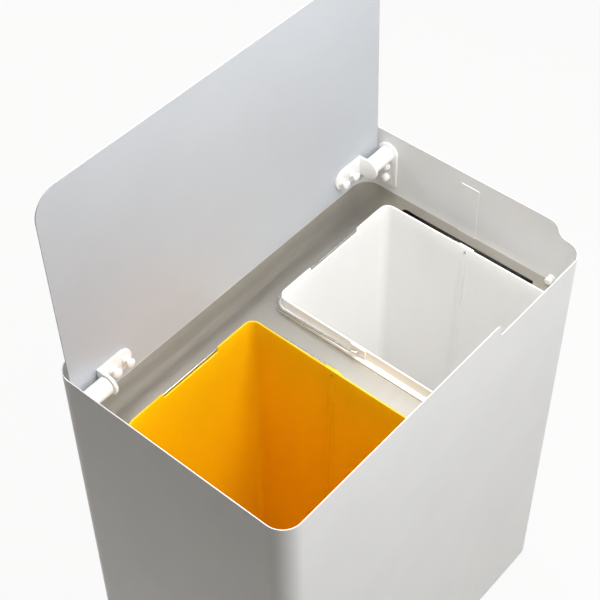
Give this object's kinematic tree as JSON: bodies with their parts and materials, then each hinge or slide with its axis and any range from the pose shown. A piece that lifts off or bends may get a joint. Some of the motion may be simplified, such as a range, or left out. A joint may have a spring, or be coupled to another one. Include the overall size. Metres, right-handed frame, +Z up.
{
  "type": "double recycling bin",
  "caption": "Sheet-steel double recycling bin with a hinged lid, and two lift-out plastic buckets with wire bails in a steel tray.",
  "frame": {"origin": "on the floor under the centre of the cabinet's footprint", "axes": "+X to the right seen from the front, +Y from the front wall to the hinged back, +Z up"},
  "size_m": [0.5, 0.308, 0.8391],
  "materials": {
    "cabinet_paint": "satin powder coat",
    "lid_paint": "satin powder coat",
    "tray_steel": "satin",
    "hinge_plastic": "satin moulding",
    "yellow_plastic": "semi-gloss moulding",
    "white_plastic": "semi-gloss moulding",
    "bail_wire": "bright drawn wire",
    "pin_steel": "turned",
    "foot_plastic": "matt moulding"
  },
  "bodies": {
    "cabinet": {"outer_shell": "cabinet_paint", "base_pan": "cabinet_paint", "foot_front_left": "foot_plastic", "foot_front_right": "foot_plastic", "foot_back_left": "foot_plastic", "foot_back_right": "foot_plastic", "bucket_tray": "tray_steel", "tray_hanger_left": "cabinet_paint", "tray_hanger_right": "cabinet_paint", "tray_clip_left": "hinge_plastic", "tray_clip_right": "hinge_plastic", "hinge_socket_left": "hinge_plastic", "hinge_socket_right": "hinge_plastic", "socket_rivet_left_upper": "hinge_plastic", "socket_rivet_left_lower": "hinge_plastic", "socket_rivet_right_upper": "hinge_plastic", "socket_rivet_right_lower": "hinge_plastic"},
    "lid": {"lid_panel": "lid_paint", "lid_bracket_left": "hinge_plastic", "lid_bracket_right": "hinge_plastic", "lid_rivet_left_outer": "hinge_plastic", "lid_rivet_left_inner": "hinge_plastic", "lid_rivet_right_outer": "hinge_plastic", "lid_rivet_right_inner": "hinge_plastic", "hinge_pin_left": "pin_steel", "hinge_pin_right": "pin_steel"},
    "left_bucket": {"bucket_left": "yellow_plastic"},
    "right_bucket": {"bucket_right": "white_plastic"},
    "left_bail": {"bail_left": "bail_wire"},
    "right_bail": {"bail_right": "bail_wire"}
  },
  "joints": [
    {"name": "lid_hinge", "type": "hinge", "parent": "cabinet", "child": "lid", "pos_m": [0, 0.118, 0.5705], "axis": [-1, 0, 0], "range_deg": [-91.3, 0]},
    {"name": "left_bucket_lift", "type": "slide", "parent": "cabinet", "child": "left_bucket", "axis": [0, 0, 1], "range_m": [0, 0.57]},
    {"name": "right_bucket_lift", "type": "slide", "parent": "cabinet", "child": "right_bucket", "axis": [0, 0, 1], "range_m": [0, 0.57]},
    {"name": "left_bail_swing", "type": "hinge", "parent": "left_bucket", "child": "left_bail", "pos_m": [-0.1195, -0.0215, 0.519], "axis": [1, 0, 0], "range_deg": [0, 184.8]},
    {"name": "right_bail_swing", "type": "hinge", "parent": "right_bucket", "child": "right_bail", "pos_m": [0.1195, -0.0215, 0.519], "axis": [1, 0, 0], "range_deg": [0, 184.8]}
  ]
}
